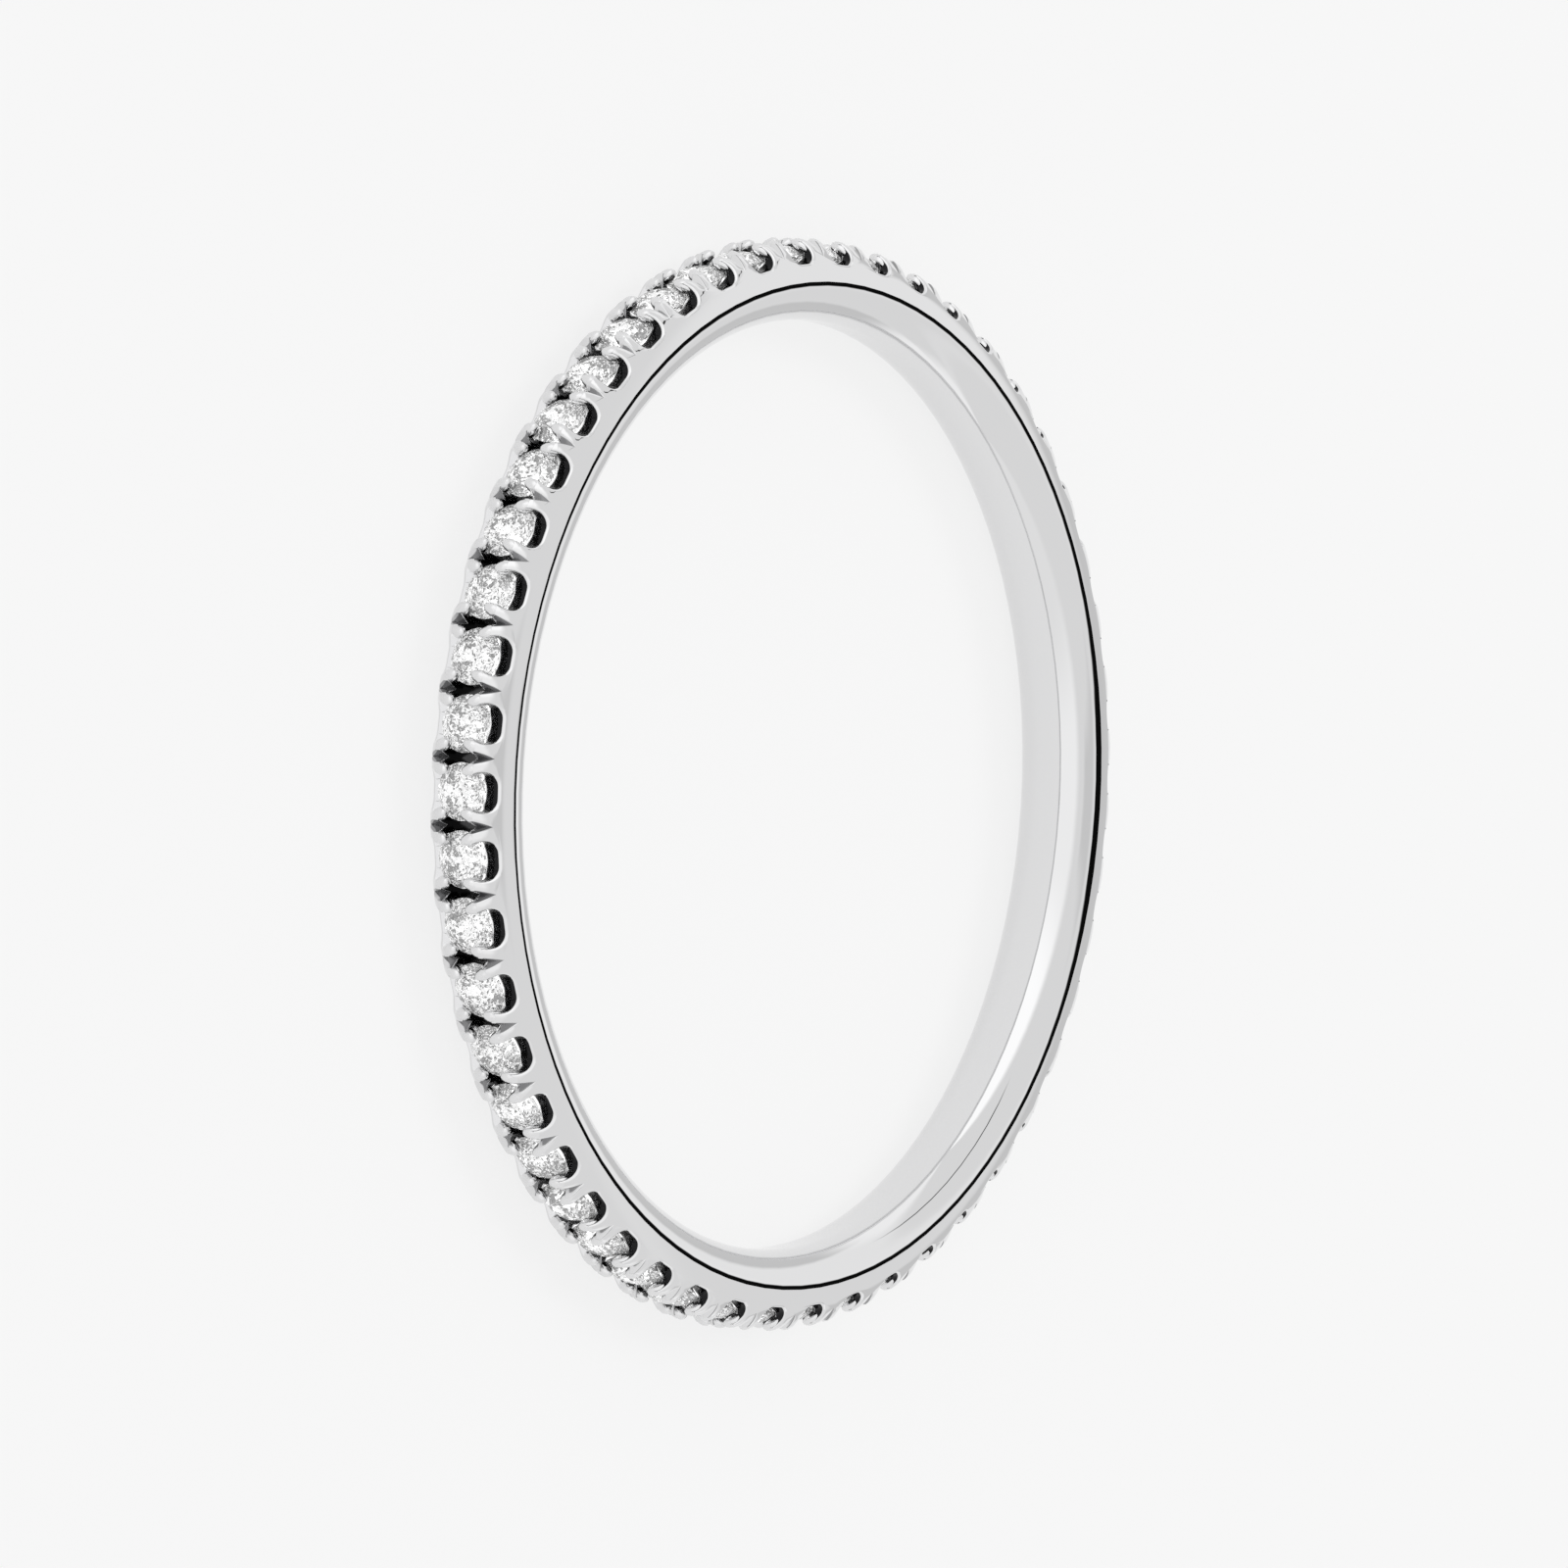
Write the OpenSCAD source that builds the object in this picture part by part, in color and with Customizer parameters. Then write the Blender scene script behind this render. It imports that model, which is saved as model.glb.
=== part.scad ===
// Full eternity ring: one cast metal band that carries a closed row of round stones
// Millimetres. The finger axis is Z, the ring lies on its side with its lower face at z = 0
// The first stone is centred on +X

/* [Finger] */
// Diameter of the finger opening
finger_d = 16.5; // [14:0.1:22]

/* [Band] */
// Width of the band between its two flat side faces
band_w = 1.58; // [1.4:0.02:2.2]
// Width of the plain cylindrical land inside the opening
land_w = 0.32; // [0.2:0.02:0.6]
// Radial height of the comfort rounding between the land and a side face
comfort_h = 0.64; // [0.4:0.02:0.7]
// Radial width of the narrow flat ring that each side face rests on
rest_w = 0.05; // [0.04:0.01:0.1]
// Lean of the side face where it leaves that flat ring
side_taper = 8; // [4:0.5:12]
// Radius of the slightly bulged side face
side_r = 3.1; // [2.5:0.1:5]
// Radial height from the land to where the flank starts to round over to the prong tips
flank_h = 0.95; // [0.9:0.01:1]
// Radius of the flank under and over the prong tips
flank_r = 0.72; // [0.66:0.01:0.8]

/* [Stones] */
// Girdle diameter of a stone
stone_d = 1.02; // [0.96:0.01:1.06]
// Smallest space between the girdles of two neighbours
stone_gap = 0.15; // [0.12:0.01:0.25]
// Radial height from the land to the girdle plane
girdle_h = 1.14; // [1.08:0.01:1.22]
// Thickness of the girdle
girdle_t = 0.03; // [0.02:0.005:0.05]
// Slope of the crown facets
crown_angle = 34.5; // [30:0.5:38]
// Slope of the main pavilion facets
pavilion_angle = 40.8; // [38:0.2:43]
// Corner to corner width of the table as a share of the girdle
table_share = 0.58; // [0.5:0.01:0.66]
// How far the lower half facets reach from the girdle to the culet
lower_halves = 0.77; // [0.7:0.01:0.85]
// Clearance between a stone and its seat
seat_clear = 0.025; // [0.02:0.005:0.04]

/* [Scallops and prongs] */
// Width of the scallop that opens on the side face under each stone
scallop_w = 0.69; // [0.6:0.01:0.74]
// Radius of the rounded ends of a scallop
scallop_r = 0.24; // [0.2:0.01:0.28]
// Radial height from the land to the bottom of a scallop
scallop_h = 1.01; // [0.96:0.01:1.1]
// Radial height from the land to the tip of the V split between two stones
split_h = 1.16; // [1.1:0.01:1.24]
// Angle between the two walls of a V split
split_angle = 48; // [30:2:70]
// Width of the sunk channel along the middle of the stone row
channel_w = 0.62; // [0.5:0.02:0.7]
// Radial height from the land to the floor of the channel
channel_h = 0.95; // [0.94:0.01:1.05]

/* [Hidden] */
$fn = 96;
comfort_steps = 6;
side_steps = 2;
flank_steps = 4;
overcut = 0.2;
half_w = band_w / 2;
finger_r = finger_d / 2;
girdle_r = finger_r + girdle_h;
channel_r = finger_r + channel_h;
stone_r = stone_d / 2;
seat_r = stone_r + seat_clear;
stone_count = floor(180 / asin((stone_d + stone_gap) / 2 / girdle_r));
pitch = 360 / stone_count;

// Turn from a main facet to the corner beside it
half_facet = 180 / 8;
// Stone levels above the girdle plane
girdle_top = girdle_t / 2;
table_r = table_share * stone_r;
table_z = girdle_top + (stone_r - table_r) * tan(crown_angle);
star_r = (table_r + stone_r) / 2;
star_z = girdle_top + (stone_r - star_r * cos(half_facet)) * tan(crown_angle);
half_r = (1 - lower_halves) * stone_r;
half_z = -girdle_top - (stone_r - half_r * cos(half_facet)) * tan(pavilion_angle);
culet_z = -girdle_top - stone_r * tan(pavilion_angle);

// Lean of the outline at the end of the side face and at the edge of the channel
side_start_h = comfort_h + rest_w;
side_end = asin(sin(side_taper) + (flank_h - side_start_h) / side_r);
flank_z = half_w - side_r * (cos(side_taper) - cos(side_end));
flank_end = acos(cos(side_end) - (flank_z - channel_w / 2) / flank_r);
tip_h = flank_h + flank_r * (sin(flank_end) - sin(side_end));

// Radial height and height over the mid plane, on an arc of radius r that starts at [h, z] leaning by a0
function leaning(h, z, r, a0, a) = [finger_r + h + r * (sin(a) - sin(a0)), z - r * (cos(a0) - cos(a))];
// Value i of n equal steps from a to b
function between(a, b, i, n) = a + (b - a) * i / n;

// Upper half of the band section, in radius and height over the mid plane
comfort_curve = [for (i = [0:comfort_steps])
    let (a = between(180, 90, i, comfort_steps))
    [finger_r + comfort_h * (1 + cos(a)), land_w / 2 + (half_w - land_w / 2) * sin(a)]];
side_curve = [for (i = [0:side_steps])
    leaning(side_start_h, half_w, side_r, side_taper, between(side_taper, side_end, i, side_steps))];
flank_curve = [for (i = [1:flank_steps])
    leaning(flank_h, flank_z, flank_r, side_end, between(side_end, flank_end, i, flank_steps))];
half_section = concat(comfort_curve, side_curve, flank_curve, [[channel_r, channel_w / 2]]);
lower_half = [for (i = [len(half_section) - 1:-1:0]) [half_section[i][0], -half_section[i][1]]];

// Puts its children at every stone, with +Z pointing away from the finger
module at_stones(turn = 0) {
    for (i = [0:stone_count - 1])
        translate([0, 0, half_w]) rotate([0, 0, (i + turn) * pitch]) rotate([0, 90, 0]) children();
}

module band_blank() {
    translate([0, 0, half_w]) rotate_extrude() polygon(concat(half_section, lower_half));
}

// Stadium shaped tunnel under a stone, open on both side faces
module scallop() {
    end_x = scallop_w / 2 - scallop_r;
    translate([0, 0, finger_r + scallop_h + scallop_r]) rotate([0, 90, 0])
        linear_extrude(height = band_w + 2 * overcut, center = true) {
            for (s = [-1, 1]) translate([0, s * end_x]) circle(r = scallop_r);
            square([2 * scallop_r, 2 * end_x], center = true);
        }
}

// V cut that splits each post into two prongs
module split() {
    depth = tip_h - split_h + overcut;
    half = depth * tan(split_angle / 2);
    translate([0, 0, finger_r + split_h]) rotate([0, 90, 0])
        linear_extrude(height = band_w + 2 * overcut, center = true)
            polygon([[0, 0], [-depth, -half], [-depth, half]]);
}

// Round cavity that a stone drops into, a clearance larger than the stone
module seat() {
    edge = girdle_top + seat_clear;
    translate([0, 0, girdle_r]) rotate_extrude()
        polygon([
            [0, -edge - seat_r * tan(pavilion_angle)],
            [seat_r, -edge],
            [seat_r, edge],
            [table_r, edge + (seat_r - table_r) * tan(crown_angle)],
            [0, edge + (seat_r - table_r) * tan(crown_angle)]
        ]);
}

module band() {
    color("gainsboro") difference() {
        band_blank();
        at_stones() scallop();
        at_stones() seat();
        at_stones(0.5) split();
    }
}

// Ring of points at one height, the first at angle a0
function ring(n, r, z, a0 = 0) = [for (i = [0:n - 1]) [r * cos(a0 + 360 * i / n), r * sin(a0 + 360 * i / n), z]];

// Round brilliant: 8 table corners, 8 star points, two girdle rings of 16, 8 lower points and the culet
stone_points = concat(
    ring(8, table_r, table_z),
    ring(8, star_r, star_z, half_facet),
    ring(16, stone_r, girdle_top),
    ring(16, stone_r, -girdle_top),
    ring(8, half_r, half_z, half_facet),
    [[0, 0, culet_z]]
);
table_at = 0;
star_at = 8;
upper_at = 16;
lower_at = 32;
half_at = 48;
culet_at = 56;
stone_faces = concat(
    [[for (i = [7:-1:0]) table_at + i]],
    [for (i = [0:7]) [table_at + i, table_at + (i + 1) % 8, star_at + i]],
    [for (i = [0:7]) [table_at + i, star_at + i, upper_at + 2 * i, star_at + (i + 7) % 8]],
    [for (i = [0:7]) [star_at + i, upper_at + 2 * i + 1, upper_at + 2 * i]],
    [for (i = [0:7]) [star_at + i, upper_at + (2 * i + 2) % 16, upper_at + 2 * i + 1]],
    [for (i = [0:15]) [upper_at + i, upper_at + (i + 1) % 16, lower_at + (i + 1) % 16, lower_at + i]],
    [for (i = [0:7]) [half_at + i, lower_at + 2 * i, lower_at + 2 * i + 1]],
    [for (i = [0:7]) [half_at + i, lower_at + 2 * i + 1, lower_at + (2 * i + 2) % 16]],
    [for (i = [0:7]) [culet_at, half_at + (i + 7) % 8, lower_at + 2 * i, half_at + i]]
);

module stones() {
    color("white") at_stones() translate([0, 0, girdle_r]) polyhedron(stone_points, stone_faces);
}

band();
stones();
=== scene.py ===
"""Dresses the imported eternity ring: a finely cut band, 50 brilliants, a pale floor and soft light."""
import math

import bmesh
import bpy
from bpy.props import FloatProperty, FloatVectorProperty, IntProperty, PointerProperty
from mathutils import Matrix, Vector


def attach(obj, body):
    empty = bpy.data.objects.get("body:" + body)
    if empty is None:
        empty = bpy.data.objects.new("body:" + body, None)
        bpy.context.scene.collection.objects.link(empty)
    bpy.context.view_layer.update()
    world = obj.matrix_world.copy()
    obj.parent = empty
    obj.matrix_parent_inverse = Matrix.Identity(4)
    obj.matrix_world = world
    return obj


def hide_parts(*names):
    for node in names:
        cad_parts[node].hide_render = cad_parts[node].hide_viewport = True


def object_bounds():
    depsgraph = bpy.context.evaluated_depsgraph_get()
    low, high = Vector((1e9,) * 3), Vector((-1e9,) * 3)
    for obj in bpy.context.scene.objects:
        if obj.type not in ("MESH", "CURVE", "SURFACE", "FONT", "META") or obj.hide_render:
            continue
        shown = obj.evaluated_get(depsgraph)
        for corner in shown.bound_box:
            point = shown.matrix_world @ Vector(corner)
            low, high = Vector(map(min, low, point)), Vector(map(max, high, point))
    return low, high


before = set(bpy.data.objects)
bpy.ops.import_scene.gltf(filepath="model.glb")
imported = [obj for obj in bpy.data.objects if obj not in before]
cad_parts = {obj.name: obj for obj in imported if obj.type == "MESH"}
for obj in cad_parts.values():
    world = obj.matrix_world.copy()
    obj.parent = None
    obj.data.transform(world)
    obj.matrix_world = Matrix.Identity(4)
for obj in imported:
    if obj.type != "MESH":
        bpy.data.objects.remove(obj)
CAD_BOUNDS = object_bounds()

bl_info = {
    "name": "Eternity Ring",
    "version": (1, 0, 0),
    "blender": (4, 5, 0),
    "location": "View3D > Sidebar > Ring",
    "description": "Models the band and the stones of a full eternity ring around its packed frame",
    "category": "Add Mesh",
}

WHITE, BLACK = (1.0, 1.0, 1.0), (0.0, 0.0, 0.0)
# Height of the ring's mid plane
MIDDLE = (CAD_BOUNDS[0].z + CAD_BOUNDS[1].z) / 2
# One bench unit is a millimetre: pieces are cut at bench scale and shrunk to metres when they are finished
BENCH = 1000.0
# Distance under which two bench points are one
WELD = 0.0004
# Bench distance by which a face or edge has to stand off a surface to count as off it
OFF = 0.01
# Steps of the comfort rounding, the side face and the flank in the band section
COMFORT_STEPS = 12
SIDE_STEPS = 3
FLANK_STEPS = 7
# Steps of the wedge round the finger, of a scallop's ends, and of a seat and an uncut stone
TURN_STEPS = 4
SCALLOP_STEPS = 9
SEAT_STEPS = 48
# Short edges up to these bench lengths are merged before the scallop rims and the other rims are rounded
SCALLOP_CLEAN = 0.008
RIM_CLEAN = 0.004
# Edges are rounded up to this share of the pitch on both sides of a stone
RIM_SPAN = 0.7
# Share of a scallop end's radius that its rounding takes, so that the two roundings don't meet
ROUND_SHARE = 0.999
# Bench distance within which a point lies on the crease between the flat ring and the side face
CREASE_SLACK = 0.001
# Sides and rings of a prong's pad
PAD_SIDES, PAD_RINGS = 16, 10
# Turn from which an edge gets a rim, and turn from which it is shaded sharp
RIM_ANGLE = math.radians(30)
SMOOTH_ANGLE = math.radians(40)
# Rim faces this close to a V split's middle, and turned to it by this much, take the split's metal and its
# painted shade
SPLIT_REACH = math.radians(0.9)
SPLIT_FACING = 0.3
# Numbers of the band's materials
SHELL, SPLIT, TUNNEL, SEAT, CHANNEL, PAD = range(6)
# Polishing marks to a metre on the shell and in the recesses, and the depths of their bump
SHELL_MARKS, RECESS_MARKS = 2500.0, 9000.0
SHELL_DEPTH, RECESS_DEPTH = 2e-7, 1e-6
BUMP_STRENGTH = 0.1
# Roughness at the smooth and the dull end of the marks, as shares of a metal's own roughness
SHELL_SPREAD, RECESS_SPREAD = (0.8, 1.3), (0.7, 1.2)


def length(name, value, description):
    """A length property in metres."""
    return FloatProperty(name=name, description=description, default=value, min=0.0,
                         unit="LENGTH", precision=6)


def angle(name, degrees, description):
    """An angle property, shown in degrees."""
    return FloatProperty(name=name, description=description, default=math.radians(degrees), subtype="ANGLE")


def colour(name, rgb, description):
    """A colour property."""
    return FloatVectorProperty(name=name, description=description, default=rgb, subtype="COLOR",
                               min=0.0, max=1.0)


def amount(name, value, description, top=1.0):
    """A plain number property."""
    return FloatProperty(name=name, description=description, default=value, min=0.0, max=top)


class RingSizes(bpy.types.PropertyGroup):
    """Sizes of the band and of the scallops and prongs cut into it."""

    finger_d: length("Finger diameter", 0.0165, "Diameter of the finger opening")
    band_w: length("Band width", CAD_BOUNDS[1].z - CAD_BOUNDS[0].z, "Width between the flat side faces")
    land_w: length("Land width", 0.00032, "Width of the plain land inside the opening")
    comfort_h: length("Comfort height", 0.00064, "Radial height of the rounding between land and side face")
    rest_w: length("Rest width", 0.00005, "Radial width of the narrow flat ring on each side face")
    side_taper: angle("Side lean", 8.0, "Lean of the side face where it leaves the flat ring")
    side_r: length("Side radius", 0.0031, "Radius of the bulged side face")
    flank_h: length("Flank height", 0.00095, "Radial height where the side face starts to round over")
    flank_r: length("Flank radius", 0.00072, "Radius of the flank under and over the prong tips")
    scallop_w: length("Scallop width", 0.00069, "Width of the scallop under each stone")
    scallop_r: length("Scallop ends", 0.00024, "Radius of the rounded ends of a scallop")
    scallop_h: length("Scallop height", 0.00101, "Radial height of the bottom of a scallop")
    split_h: length("Split height", 0.00116, "Radial height of the tip of the V split")
    split_angle: angle("Split angle", 48.0, "Angle between the walls of a V split")
    channel_w: length("Channel width", 0.00062, "Width of the sunk channel along the stone row")
    channel_h: length("Channel height", 0.00095, "Radial height of the channel floor")
    scallop_rim: length("Scallop rim", 0.000045, "Width of the rounded rim of a scallop")
    rim: length("Rim", 0.000014, "Width of the rounded rim along the other cut edges")
    tip_h: length("Tip height", 0.001385, "Radial height at which the sharp prong tips are filed flat")
    pad_l: length("Pad length", 0.00042, "Length across the band of the pad that a prong lays on a stone")
    pad_w: length("Pad width", 0.00024, "Width round the finger of a prong's pad")
    pad_t: length("Pad thickness", 0.00025, "Radial thickness of a prong's pad")
    pad_h: length("Pad height", 0.00129, "Radial height of the middle of a prong's pad")
    pad_z: length("Pad place", 0.00034, "Distance from the mid plane to the middle of a pad")
    pad_y: length("Pad side", 0.0004, "Distance round the finger from a stone's axis to its pads")
    pad_turn: angle("Pad turn", 14.0, "Turn of a pad towards the stone's middle")
    pad_lean: angle("Pad lean", 30.0, "Lean of a pad down the flank")
    # Painted shadow: pad faces turned further inwards than this take the channel's near-black metal
    pad_shadow: amount("Pad shadow", 0.25, "How far a pad's underside turns inwards before it lies in shade")


class StoneSizes(bpy.types.PropertyGroup):
    """Proportions of a stone and of its seat."""

    count: IntProperty(name="Stones", description="Number of stones in the closed row", default=50, min=12)
    stone_d: length("Stone diameter", 0.00102, "Girdle diameter of a stone")
    girdle_h: length("Girdle height", 0.00114, "Radial height of the girdle plane over the land")
    girdle_t: length("Girdle thickness", 0.00003, "Thickness of the girdle")
    crown: angle("Crown angle", 34.5, "Slope of the crown facets")
    pavilion: angle("Pavilion angle", 40.8, "Slope of the main pavilion facets")
    table: amount("Table share", 0.58, "Corner to corner width of the table as a share of the girdle")
    halves: amount("Lower halves", 0.77, "How far the lower half facets reach to the culet")
    clear: length("Seat clearance", 0.000025, "Gap between a stone and its seat")


class RingFinish(bpy.types.PropertyGroup):
    """Colours and finishes."""

    metal: colour("Metal", (0.77, 0.77, 0.775), "Colour of the polished metal")
    split_metal: colour("Split metal", (0.75, 0.75, 0.755), "Colour of the V splits' walls in the light")
    # Painted shade: the V split walls that face sideways take this dark colour in place of the lit split
    # metal
    split_painted_shade: colour("Split painted shade", (0.31, 0.31, 0.315), "Colour of the V splits' sideways walls")
    # Painted shade: the channel and the pads' undersides are coloured near black for the shade that falls
    # there
    channel_shade: colour("Channel shade", (0.06, 0.06, 0.061), "Colour of the metal in the channel")
    # Painted shade: a scallop's upper mouth and a seat's edge fade to this near black
    mouth_shade: colour("Mouth shade", (0.02, 0.02, 0.021), "Colour of scallop mouths and seat edges")
    scallop_metal: colour("Scallop metal", (0.6, 0.6, 0.61), "Colour of the metal deep in the scallops")
    # Painted light: the seat metal is lighter than the shell and glows, so that the stones over it look
    # brighter
    seat_metal: colour("Seat metal", (0.9, 0.9, 0.9), "Colour of the metal under the stones")
    # Painted light: the metal deep in a scallop glows
    scallop_painted_glow: amount("Scallop glow", 0.26, "Light that gathers deep in the scallops")
    seat_painted_glow: amount("Seat glow", 0.65, "Light that gathers under the stones")
    # Painted shade: above this height a scallop's metal turns near black and stops glowing
    mouth_z: length("Mouth", 0.0002, "Height over the mid plane where a scallop's dark upper mouth is full")
    mouth_soft: length("Mouth fade", 0.00008, "Height over which a scallop's metal turns dark")
    # Painted shade: towards the girdle a seat's metal turns near black and stops glowing
    seat_edge: length("Seat edge", 0.00007, "Depth under the girdle of a seat's shaded edge")
    seat_soft: length("Seat fade", 0.00004, "Depth over which a seat's metal turns dark")
    metal_rough: amount("Polish", 0.014, "Roughness of the polished metal")
    recess_rough: amount("Recess polish", 0.16, "Roughness of the metal in the recesses")
    pad_rough: amount("Pad polish", 0.24, "Roughness of the burnished pads")
    stone: colour("Stone", (1.0, 1.0, 1.0), "Body colour of the stones")
    # Painted light: a faint even glow on the stones
    stone_painted_glow: amount("Sparkle", 0.03, "Light that the many facets add to a stone")
    facet_scale: amount("Facet scale", 9500.0, "Small facets to a metre", 50000.0)
    facet_tilt: amount("Facet tilt", 0.35, "How far the small facets turn from the cut ones")
    stone_ior: amount("Refraction", 2.417, "Index of refraction of the stones", 4.0)
    floor: colour("Floor", (0.14, 0.14, 0.14), "Colour of the floor")
    floor_glow: amount("Floor glow", 0.78, "Light that the floor gives off by itself, as a light table does")


def work_mesh():
    """The mesh of the active object in edit mode."""
    return bmesh.from_edit_mesh(bpy.context.object.data)


def edit():
    """Goes to edit mode on the active object, with nothing selected."""
    bpy.ops.object.mode_set(mode="EDIT")
    bpy.ops.mesh.select_all(action="DESELECT")


def done():
    """Goes back to object mode."""
    bpy.ops.object.mode_set(mode="OBJECT")


def everything():
    """Selects all of the edited mesh."""
    bpy.ops.mesh.select_all(action="SELECT")


def pick(kind, test):
    """Selects the edited mesh's vertices, edges or faces that pass a test of their middle and themselves."""
    mesh = work_mesh()
    for part in (mesh.verts, mesh.edges, mesh.faces):
        for e in part:
            e.select = False
    for e in getattr(mesh, kind):
        if kind == "verts":
            middle = e.co
        elif kind == "edges":
            middle = (e.verts[0].co + e.verts[1].co) / 2
        else:
            middle = e.calc_center_median()
        if test(middle, e):
            e.select_set(True)
    mesh.select_flush_mode()
    bmesh.update_edit_mesh(bpy.context.object.data)


def only(piece):
    """Makes one object the only selected one and the active one."""
    bpy.ops.object.select_all(action="DESELECT")
    piece.select_set(True)
    bpy.context.view_layer.objects.active = piece


def named(name):
    """Names the active object and its mesh."""
    piece = bpy.context.object
    piece.name = name
    piece.data.name = name
    return piece


def freeze(piece):
    """Applies the object's place, turn and scale to its mesh."""
    only(piece)
    bpy.ops.object.transform_apply(location=True, rotation=True, scale=True)


def apply_modifier(piece, name, kind, **settings):
    """Adds one modifier with its settings and applies it."""
    only(piece)
    modifier = piece.modifiers.new(name, kind)
    for key, value in settings.items():
        setattr(modifier, key, value)
    bpy.ops.object.modifier_apply(modifier=modifier.name)


def cut_with(piece, cutter):
    """Cuts one solid out of another and removes the cutter."""
    apply_modifier(piece, "Cut", "BOOLEAN", operation="DIFFERENCE", object=cutter, solver="EXACT")
    bpy.data.objects.remove(cutter, do_unlink=True)


def join_doubles():
    """Merges the edited mesh's doubled points and turns its faces outwards."""
    everything()
    bpy.ops.mesh.remove_doubles(threshold=WELD)
    everything()
    bpy.ops.mesh.normals_make_consistent(inside=False)


def slice_off(point, normal, fill=False):
    """Cuts the edited mesh along a plane and removes what lies on the side that the normal points to."""
    everything()
    bpy.ops.mesh.bisect(plane_co=point, plane_no=normal, use_fill=fill, clear_outer=True, threshold=WELD / 10)


def to_metres(piece):
    """Shrinks a finished bench piece to metres and puts its mid plane at the middle of the band."""
    piece.scale = (1 / BENCH,) * 3
    piece.location = (0.0, 0.0, MIDDLE)
    freeze(piece)
    if not piece.data.polygons:
        raise RuntimeError(piece.name + " came out empty")


def repeat_round(piece, count, **settings):
    """Repeats a bench piece round the finger, one copy for each stone."""
    bpy.ops.object.empty_add(location=(0, 0, 0), rotation=(0, 0, 2 * math.pi / count))
    turn = bpy.context.object
    apply_modifier(piece, "Round", "ARRAY", count=count, use_relative_offset=False, use_object_offset=True,
                   offset_object=turn, **settings)
    bpy.data.objects.remove(turn, do_unlink=True)


def leaning(start, radius, first, last, steps):
    """Points of an arc that starts at one outline point and leans from the first to the last angle."""
    points = []
    for i in range(steps + 1):
        turn = first + (last - first) * i / steps
        points.append((start[0] + radius * (math.sin(turn) - math.sin(first)),
                       start[1] - radius * (math.cos(first) - math.cos(turn))))
    return points


def half_section(s):
    """Upper half of the band section in bench units, from the mid plane inside round to the channel."""
    finger, half = s.finger_d / 2 * BENCH, s.band_w / 2 * BENCH
    land, comfort = s.land_w / 2 * BENCH, s.comfort_h * BENCH
    side_start = s.comfort_h + s.rest_w
    side_r, flank_r, edge = s.side_r * BENCH, s.flank_r * BENCH, s.channel_w / 2 * BENCH
    points = [(finger, 0.0)]
    for i in range(COMFORT_STEPS + 1):
        turn = math.pi - math.pi / 2 * i / COMFORT_STEPS
        points.append((finger + comfort + comfort * math.cos(turn), land + (half - land) * math.sin(turn)))
    side_end = math.asin(math.sin(s.side_taper) + (s.flank_h - side_start) / s.side_r)
    points += leaning((finger + side_start * BENCH, half), side_r, s.side_taper, side_end, SIDE_STEPS)
    flank_start = points[-1]
    flank_end = math.acos(math.cos(side_end) - (flank_start[1] - edge) / flank_r)
    points += leaning(flank_start, flank_r, side_end, flank_end, FLANK_STEPS)[1:]
    points.append((finger + s.channel_h * BENCH, edge))
    points.append((finger + s.channel_h * BENCH, 0.0))
    return points


def sector_blank(s, pitch):
    """A closed wedge of the plain band, two cells long, standing round +X."""
    outline = half_section(s)
    bpy.ops.object.select_all(action="DESELECT")
    bpy.ops.mesh.primitive_plane_add(size=0.1, location=(0, 0, 0))
    blank = named("band_cell")
    freeze(blank)
    edit()
    everything()
    bpy.ops.mesh.merge(type="CENTER")
    first = outline[0]
    bpy.ops.transform.translate(value=(first[0], 0.0, first[1]))
    for before, after in zip(outline, outline[1:]):
        step = (after[0] - before[0], 0.0, after[1] - before[1])
        bpy.ops.mesh.extrude_region_move(TRANSFORM_OT_translate={"value": step})
    done()
    apply_modifier(blank, "Lower half", "MIRROR", use_axis=(False, False, True), merge_threshold=WELD)
    edit()
    everything()
    bpy.ops.mesh.remove_doubles(threshold=WELD)
    everything()
    bpy.ops.mesh.edge_face_add()
    done()
    blank.rotation_euler = (0.0, 0.0, pitch)
    freeze(blank)
    edit()
    everything()
    bpy.ops.mesh.spin(steps=TURN_STEPS, angle=2 * pitch, center=(0, 0, 0), axis=(0, 0, 1))
    everything()
    bpy.ops.mesh.normals_make_consistent(inside=False)
    done()
    return blank


def scallop_cutter(s):
    """Stadium shaped bar that opens the side faces under a stone."""
    finger = s.finger_d / 2 * BENCH
    low, round_r, width = finger + s.scallop_h * BENCH, s.scallop_r * BENCH, s.scallop_w * BENCH
    reach = s.band_w * BENCH
    bpy.ops.object.select_all(action="DESELECT")
    bpy.ops.mesh.primitive_cube_add(size=1.0, location=(low + round_r, 0.0, 0.0))
    cutter = named("scallop_cutter")
    cutter.scale = (2 * round_r, width, 2 * reach)
    freeze(cutter)
    edit()
    pick("edges", lambda p, e: abs(e.verts[0].co.z - e.verts[1].co.z) > reach)
    bpy.ops.mesh.bevel(offset=round_r * ROUND_SHARE, segments=SCALLOP_STEPS, profile=0.5, affect="EDGES")
    done()
    return cutter


def split_cutter(s, at):
    """Long wedge with a V edge towards the finger, turned to the middle of a post."""
    finger = s.finger_d / 2 * BENCH
    depth = (s.flank_h + s.flank_r - s.split_h) * BENCH
    reach = s.band_w * BENCH
    half = depth * math.tan(s.split_angle / 2)
    bpy.ops.object.select_all(action="DESELECT")
    bpy.ops.mesh.primitive_cylinder_add(vertices=4, radius=1.0, depth=2 * reach)
    cutter = named("split_cutter")
    cutter.scale = (depth, half, 1.0)
    cutter.location = (finger + s.split_h * BENCH + depth, 0.0, 0.0)
    freeze(cutter)
    cutter.rotation_euler = (0.0, 0.0, at)
    freeze(cutter)
    return cutter


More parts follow.
